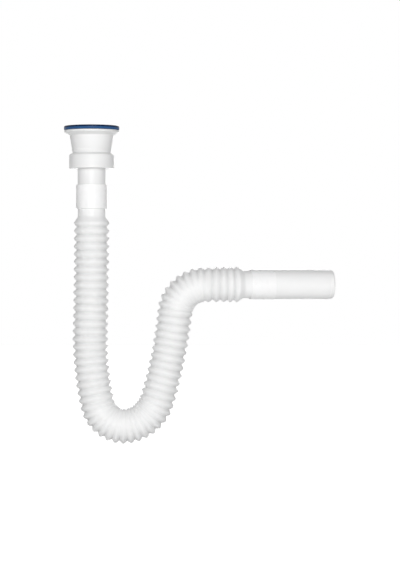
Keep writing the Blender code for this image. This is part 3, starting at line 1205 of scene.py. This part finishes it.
@dataclass(frozen=True)
class Stretch:
    """A straight or evenly curved stretch of the hose's centre line."""

    length: float
    turn: float = 0.0
    bend: Bend = Bend.TOWARD_OUTLET

    @property
    def curvature(self) -> float:
        """One over the bend's radius."""
        return self.turn / self.length

    def motion(self, distance: float) -> Matrix:
        """The change of place and heading over a distance along this stretch.

        Args:
            distance: How far along.

        Returns:
            The change, as a matrix.
        """
        turned_by = self.curvature * distance
        if abs(turned_by) < STRAIGHT:
            return Matrix.Translation((0, 0, distance))
        aside = (1 - cos(turned_by)) / self.curvature
        along = sin(turned_by) / self.curvature
        arc = Matrix.Translation((aside, 0, along)) @ Matrix.Rotation(turned_by, 4, "Y")
        way = self.bend.value
        return Matrix.Rotation(way, 4, "Z") @ arc @ Matrix.Rotation(-way, 4, "Z")


@dataclass
class BellowsHose:
    """The corrugated hose, moulded in one with a plain neck at each end."""

    stub: InletStub
    ridge_radius: float = 20.32 * MM
    fold_depth: float = 3.4 * MM
    pitch: float = 8.97 * MM
    wall: float = 1.1 * MM
    neck_wall: float = 1.2 * MM
    neck_step: float = 1.0 * MM
    flare_length: float = 7.5 * MM
    flare_rows: int = 8
    flare_easing: float = 0.35
    neck_below_sleeve: float = 8.6 * MM
    outlet_neck_showing: float = 7.9 * MM
    socket_grip: float = 20.0 * MM
    fold_closing: float = 0.80
    closed_from: float = -0.85
    closed_to: float = 0.10
    fold_pressing: float = 1.4
    least_fold: float = 0.15
    bow_length: float = 124.6 * MM
    bow_turn: float = radians(1.4)
    sway_length: float = 85.7 * MM
    sway_turn: float = radians(14.3)
    heel_radius: float = 30.9 * MM
    heel_turn: float = radians(87.0)
    toe_radius: float = 41.5 * MM
    toe_turn: float = radians(63.2)
    riser_length: float = 105.0 * MM
    riser_turn: float = radians(11.0)
    upper_bend_radius: float = 34.4 * MM
    run_length: float = 19.0 * MM
    swing_length: float = 18.0 * MM
    swing_turn: float = radians(11.0)
    sides: int = 72
    rows_per_fold: int = 10
    inner_rows_per_fold: int = 6
    survey_step: float = 0.5 * MM
    crest_sharpness: float = 0.955
    crest_breadth: float = 1.35
    root_narrowness: float = 3.2
    tilt: float = radians(1.1)
    swell: float = 0.12 * MM
    calming: float = 1.5
    seam_height: float = 0.10 * MM
    seam_width: float = radians(1.0)
    beside_seam: float = radians(1.1)
    seed: int = 41

    def __post_init__(self) -> None:
        """Lays out the route and a ring's angles once, from the sizes above."""
        turns = (self.sway_turn, self.heel_turn, self.toe_turn, self.riser_turn)
        upper_turn = sum(turns) - self.bow_turn - pi / 2
        self.top = self.stub.rib_foot - GAP
        neck = self.top - self.stub.sleeve_foot + self.neck_below_sleeve
        self.folds_start = neck + self.flare_length
        down_and_up = (
            Stretch(self.folds_start),
            Stretch(self.bow_length, self.bow_turn, Bend.AWAY),
            Stretch(self.sway_length, self.sway_turn),
            Stretch(self.heel_radius * self.heel_turn, self.heel_turn),
            Stretch(self.toe_radius * self.toe_turn, self.toe_turn),
            Stretch(self.riser_length, self.riser_turn),
        )
        outward = (
            Stretch(self.upper_bend_radius * upper_turn, upper_turn, Bend.AWAY),
            Stretch(self.run_length),
            Stretch(self.swing_length, self.swing_turn, Bend.TOWARD_BACK),
        )
        self.route = down_and_up + outward
        self.upper_start = sum(stretch.length for stretch in down_and_up)
        self.folds_end = sum(stretch.length for stretch in self.route)
        self.outlet_neck = self.folds_end + self.flare_length
        self.socket_mouth = self.outlet_neck + self.outlet_neck_showing
        self.end = self.socket_mouth + self.socket_grip
        even = np.linspace(0, TURN, self.sides, endpoint=False)
        beside = [seam + way * self.beside_seam for seam in (0.0, pi) for way in (-1, 1)]
        self.angles = np.sort(np.concatenate([even, np.array(beside) % TURN]))

    def place(self, distance: float) -> Matrix:
        """The frame at a distance along the hose: its +Z runs away from the inlet.

        Args:
            distance: How far from the hose's inlet end.

        Returns:
            The frame, as a matrix.
        """
        place = Matrix.Translation((0, 0, self.top)) @ Matrix.Rotation(pi, 4, "X")
        for stretch in self.route:
            place = place @ stretch.motion(min(distance, stretch.length))
            distance -= stretch.length
            if distance <= 0:
                return place
        return place @ Matrix.Translation((0, 0, distance))

    def bend_at(self, distance: float) -> tuple[float, float]:
        """The bend at a distance along the hose.

        Args:
            distance: How far from the hose's inlet end.

        Returns:
            One over the radius, and the direction round the axis.
        """
        for stretch in self.route:
            if distance <= stretch.length:
                return stretch.curvature, stretch.bend.value
            distance -= stretch.length
        return 0.0, 0.0

    def smooth_bend(self, distance: float) -> tuple[float, float]:
        """The bend at a distance, evened out over a fold so that it doesn't jump.

        Args:
            distance: How far from the hose's inlet end.

        Returns:
            One over the radius, and the direction round the axis.
        """
        near = [self.bend_at(distance + offset * self.pitch) for offset in np.linspace(-0.5, 0.5, 5)]
        pull = sum(curvature * np.exp(1j * way) for curvature, way in near) / len(near)
        return abs(pull), float(np.angle(pull))

    def fold_distances(self) -> np.ndarray:
        """Where each ridge and valley lies: ridges at the even places.

        Returns:
            Distances along the hose.
        """
        sampled = np.arange(self.folds_start, self.folds_end, self.survey_step)
        closing = self.fold_closing * self.ridge_radius
        closeness = [1 + closing * self.bend_at(spot)[0] for spot in sampled]
        folds = np.concatenate(([0.0], np.cumsum(closeness) * self.survey_step / self.pitch))
        wanted = np.linspace(0.0, folds[-1], 2 * round(folds[-1]) + 1)
        return np.interp(wanted, folds, np.append(sampled, self.folds_end))

    def fold_share(self, curvature: float, toward: np.ndarray) -> np.ndarray:
        """How much of a fold's depth is left where the hose bends: its inner side is pressed shut.

        Args:
            curvature: One over the bend's radius.
            toward: 1 on the inner side of the bend and -1 on its outer side.

        Returns:
            The share of the full depth.
        """
        closed = np.clip((toward - self.closed_from) / (self.closed_to - self.closed_from), 0, 1)
        pressed = self.fold_pressing * self.ridge_radius * curvature * closed
        return np.clip(1 - pressed, self.least_fold, 1)

    def crest(self, phase: float) -> float:
        """The height of a fold: a triangle wave with broad rounded crests and narrow roots.

        Args:
            phase: The place in the fold, 0 at a ridge and 0.5 at a valley.

        Returns:
            1 at a ridge and 0 at a valley.
        """
        sharp = self.crest_sharpness
        wave = 0.5 + np.arcsin(sharp * np.cos(TURN * phase)) / (2 * np.arcsin(sharp))
        return 1 - (1 - wave) ** self.crest_breadth

    def wobble(self, count: int) -> list[tuple[float, float, float]]:
        """How far each fold is out of true, as a hand-bent hose's folds are.

        Args:
            count: How many folds there are.

        Returns:
            Each ridge's tilt, the way it tilts and how much smaller it is.
        """
        chance = np.random.default_rng(self.seed)
        tilts = chance.uniform(-self.tilt, self.tilt, count + 1)
        turns = chance.uniform(0, pi, count + 1)
        return list(zip(tilts, turns, chance.uniform(0, self.swell, count + 1)))

    def seam_line(self) -> np.ndarray:
        """What the fine raised line of each mould seam adds to a ring's radius."""
        near = np.minimum(np.abs(np.sin(self.angles)) / self.seam_width, 1.0)
        return self.seam_height * (1 - near)

    def flare(self, neck: float, ridge: float) -> list[tuple[float, float]]:
        """The widening of a neck to the first ridge.

        Args:
            neck: The neck's radius.
            ridge: The ridge's radius.

        Returns:
            The share of the flare's length and the radius, row by row from the neck.
        """
        share = np.linspace(0, 1, self.flare_rows + 1)[:-1]
        eased = self.flare_easing * share * share * (3 - 2 * share) + (1 - self.flare_easing) * share
        return list(zip(share, neck + eased * (ridge - neck)))

    def ring(
        self, distance: float, radius: float | np.ndarray, shift: float | np.ndarray = 0.0
    ) -> np.ndarray:
        """A ring of points round the hose.

        Args:
            distance: How far from the hose's inlet end.
            radius: Each point's distance from the centre line.
            shift: How far each point is moved along the hose.

        Returns:
            Points, as sides by 3.
        """
        level, one = 0 * self.angles, 1 + 0 * self.angles
        local = [radius * np.cos(self.angles), radius * np.sin(self.angles), shift + level, one]
        return (np.array(self.place(distance)) @ np.stack(local))[:3].T

    def wall_rings(
        self, neck: float, inset: float, rows: int, seams: bool
    ) -> tuple[np.ndarray, np.ndarray]:
        """One face of the wall, from the inlet end to the outlet end.

        Args:
            neck: The radius of the plain necks on this face.
            inset: How far this face lies inside the outer one.
            rows: How many rings there are to a fold.
            seams: Whether the face shows its mould seams.

        Returns:
            Points, as rings by sides by 3, and how deep in a fold's root each point lies.
        """
        folds = self.fold_distances()
        count = (len(folds) - 1) // 2
        phases = np.arange(count * rows + 1) / rows
        distances = np.interp(phases * 2, np.arange(len(folds)), folds)
        ridge, step = self.ridge_radius - inset, self.neck_step
        flare, wobble = self.flare(neck, ridge), self.wobble(count)
        proud = self.seam_line() if seams else 0.0
        start = self.folds_start - self.flare_length
        rings = [self.ring(spot, neck) for spot in (0.0, step, start - step)]
        rings += [self.ring(start + share * self.flare_length, radius) for share, radius in flare]
        roots = [0 * self.angles for ring in rings]
        for phase, distance in zip(phases, distances):
            curvature, way = self.smooth_bend(distance)
            share = self.fold_share(curvature, np.cos(self.angles - way))
            fall = 1 - self.crest(phase)
            roots.append(share**2 * fall**self.root_narrowness)
            number = min(int(phase + 0.5), count)
            tilt, turn, swell = wobble[number]
            calm = max(0.0, 1 - self.calming * self.ridge_radius * curvature)
            shift = tilt * calm * self.ridge_radius * np.cos(self.angles - turn)
            ease = min(1.0, phase, count - phase) * cos(pi * (phase - number)) ** 2
            radius = ridge - self.fold_depth * share * fall + proud - swell * ease
            rings.append(self.ring(distance, radius, shift * ease))
        for share, radius in reversed(flare):
            rings.append(self.ring(self.folds_end + (1 - share) * self.flare_length, radius))
        rings += [self.ring(spot, neck) for spot in (self.outlet_neck + step, self.end - step, self.end)]
        roots += [0 * self.angles for ring in rings[len(roots):]]
        return np.array(rings), np.array(roots)

    def build(self, dresser: Dresser) -> None:
        """Builds and dresses the hose.

        Args:
            dresser: Gives the pieces their finishes.
        """
        outer_neck, inner_neck = self.stub.neck_radius, self.stub.neck_radius - self.neck_wall
        outside, roots = self.wall_rings(outer_neck, 0.0, self.rows_per_fold, True)
        inside, _ = self.wall_rings(inner_neck, self.wall, self.inner_rows_per_fold, False)
        hose = surface("bellows_hose", np.concatenate([outside, inside[::-1]]), sharp_from=60.0)
        depths = np.concatenate([roots, np.zeros(inside.shape[:2])]).ravel()
        hose.data.attributes.new(FOLD_ROOT, "FLOAT", "POINT").data.foreach_set("value", depths)
        dresser.dress(hose, HOSE_MOULDING, "corrugated_hose")
        start = self.place(self.upper_start).translation
        end = self.place(self.folds_end - self.pitch).translation
        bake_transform(hose)


@dataclass
class OutletSpigot:
    """The outlet spigot, moulded in one with the bright socket over the hose's neck."""

    hose: BellowsHose
    wall: float = 1.9 * MM
    length: float = 70.0 * MM
    tip_length: float = 5.0 * MM
    tip_step: float = 0.3 * MM
    chamfer: float = 1.0 * MM
    chamfer_length: float = 1.9 * MM
    socket_wall: float = 1.1 * MM
    socket_step: float = 0.3 * MM
    socket_length: float = 27.8 * MM

    def __post_init__(self) -> None:
        """Works out the spigot's radii and its place from the hose."""
        self.socket_bore = self.hose.stub.neck_radius + GAP
        self.radius = self.socket_bore + self.socket_wall - self.socket_step
        self.home = self.hose.place(self.hose.socket_mouth)

    def build(self, dresser: Dresser) -> None:
        """Builds and dresses the spigot, with a bright band round its socket.

        Args:
            dresser: Gives the spigot its finishes.
        """
        bore, socket_radius = self.radius - self.wall, self.radius + self.socket_step
        tip, end = self.radius - self.tip_step, self.socket_length + self.length
        shoulder, tip_start = self.hose.socket_grip + GAP, end - self.tip_length
        corners = [
            Corner(bore, end, CRISP),
            Corner(bore, shoulder, CRISP),
            Corner(self.socket_bore, shoulder, CRISP),
            Corner(self.socket_bore, 0.0, EASED),
            Corner(socket_radius, 0.0, SOFT),
            Corner(socket_radius, self.socket_length - self.socket_step, BROKEN),
            Corner(self.radius, self.socket_length, BROKEN),
            Corner(self.radius, tip_start, BROKEN),
            Corner(tip, tip_start + self.tip_step, BROKEN),
            Corner(tip, end - self.chamfer_length, BLUNT),
            Corner(tip - self.chamfer, end, BROKEN),
        ]
        spigot = turned("outlet_tube", corners)
        spigot.data.transform(self.home)
        # The spigot takes the brightened copy of the white plastic, which is painted light.
        dresser.dress(spigot, SPIGOT_LIT_MOULDING, "outlet_spigot", Body.OUTLET)
        spigot.data.materials.append(dresser.material_of(BRIGHT_BAND))
        for face in spigot.data.polygons:
            face.material_index = int(self.on_band(face.center))

    def on_band(self, spot: Vector) -> bool:
        """Whether a spot is on the socket's outer face.

        Args:
            spot: The spot, in the model's own frame.

        Returns:
            True where it is.
        """
        spot = self.home.inverted() @ spot
        outside = sqrt(spot.x**2 + spot.y**2) > self.radius + NEAR
        return outside and 0 < spot.z < self.socket_length


# Studio


@dataclass(frozen=True)
class Lamp:
    """A soft square lamp that faces the object: its place from the object's centre, side and watts."""

    name: str
    place: tuple[float, float, float]
    size: float
    power: float

    def hang(self, centre: Vector) -> None:
        """Hangs the lamp.

        Args:
            centre: The object's centre.
        """
        data = bpy.data.lights.new(self.name, "AREA")
        data.size, data.energy = self.size, self.power
        lamp = stand(self.name, data)
        lamp.location = centre + Vector(self.place)
        lamp.rotation_mode = "QUATERNION"
        lamp.rotation_quaternion = Vector(self.place).to_track_quat("Z", "Y")


@dataclass
class Studio:
    """A pale floor, a white surround, soft lamps and the camera."""

    pixel: float = 1.15 * MM
    centre: Vector = field(default_factory=lambda: Vector((124.6 * MM, 0.0, -182.7 * MM)))
    distance: float = 2.7
    frame_pixels: int = 570
    sensor: float = 36.0
    nearest: float = 0.05
    farthest: float = 60.0
    floor_height: float = -0.62
    floor_reach: float = 14.0
    floor_colour: Colour = (0.93, 0.93, 0.93)
    floor_lift: float = 0.42
    shadow_reach: float = 0.45
    white_from: float = 0.85
    surround: float = 0.245
    lamps: tuple[Lamp, ...] = (
        Lamp("front_lamp", (0.0, -3.0, 0.4), size=1.2, power=64.0),
        Lamp("back_lamp", (0.0, 3.0, 0.4), size=0.9, power=34.0),
    )

    def build_camera(self) -> None:
        """Builds the camera, level and square to the hose's plane."""
        data = bpy.data.cameras.new("camera")
        data.sensor_width = self.sensor
        data.lens = self.sensor * self.distance / (self.frame_pixels * self.pixel)
        data.clip_start, data.clip_end = self.nearest, self.farthest
        camera = stand("camera", data)
        camera.location = self.centre - Vector((0, self.distance, 0))
        camera.rotation_euler = (pi / 2, 0, 0)
        bpy.context.scene.camera = camera

    def build_floor(self) -> None:
        """Builds the floor, which the camera sees as white apart from shadows."""
        mesh = bpy.data.meshes.new("floor")
        corners = [(x, y, 0) for x, y in ((-1, -1), (1, -1), (1, 1), (-1, 1))]
        mesh.from_pydata((self.floor_reach * np.array(corners)).tolist(), [], [(0, 1, 2, 3)])
        floor = stand("floor", mesh)
        floor.location = (self.centre.x, 0, self.floor_height)
        material = bpy.data.materials.new("pale_floor")
        material.use_nodes = True
        nodes = NodeWriter(material.node_tree)
        away = nodes.add("VectorMath", operation="LENGTH")
        nodes.put(nodes.position(), away.inputs[0])
        fade = nodes.ramp(
            away.outputs["Value"],
            start=self.shadow_reach,
            end=self.white_from,
            low=self.floor_lift,
            course="SMOOTHSTEP",
        )
        nodes.set(
            Base_Color=(*self.floor_colour, 1),
            Roughness=0.9,
            Specular_IOR_Level=0.1,
            Emission_Color=(1, 1, 1, 1),
            Emission_Strength=nodes.maths("MULTIPLY", nodes.seen_directly(), fade),
        )
        mesh.materials.append(material)

    def build_world(self) -> None:
        """Builds the surround: white to the camera and in reflections, softer as a light."""
        world = bpy.data.worlds.new("surround")
        bpy.context.scene.world = world
        world.use_nodes = True
        nodes = NodeWriter(world.node_tree)
        background = world.node_tree.nodes["Background"].inputs
        background["Color"].default_value = (1, 1, 1, 1)
        strength = nodes.ramp(nodes.seen_directly(), low=self.surround, high=1.0)
        nodes.put(strength, background["Strength"])

    def build(self) -> None:
        """Builds the whole studio."""
        bpy.context.scene.view_settings.view_transform = "Standard"
        self.build_camera()
        self.build_floor()
        self.build_world()
        for lamp in self.lamps:
            lamp.hang(self.centre)


def main() -> None:
    """Builds every sub-assembly and the studio, and reports each piece."""
    logging.basicConfig(level=logging.INFO, format="%(name)s: %(message)s")
    dresser = Dresser()
    cup = InletCup()
    joint = UnionJoint(cup)
    stub = InletStub(joint)
    hose = BellowsHose(stub)
    for assembly in (cup, joint, stub, hose, OutletSpigot(hose)):
        assembly.build(dresser)
    Studio().build()
    for piece in dresser.pieces:
        LOG.info("%s: %d faces", piece.name, len(piece.data.polygons))


if __name__ == "__main__":
    main()
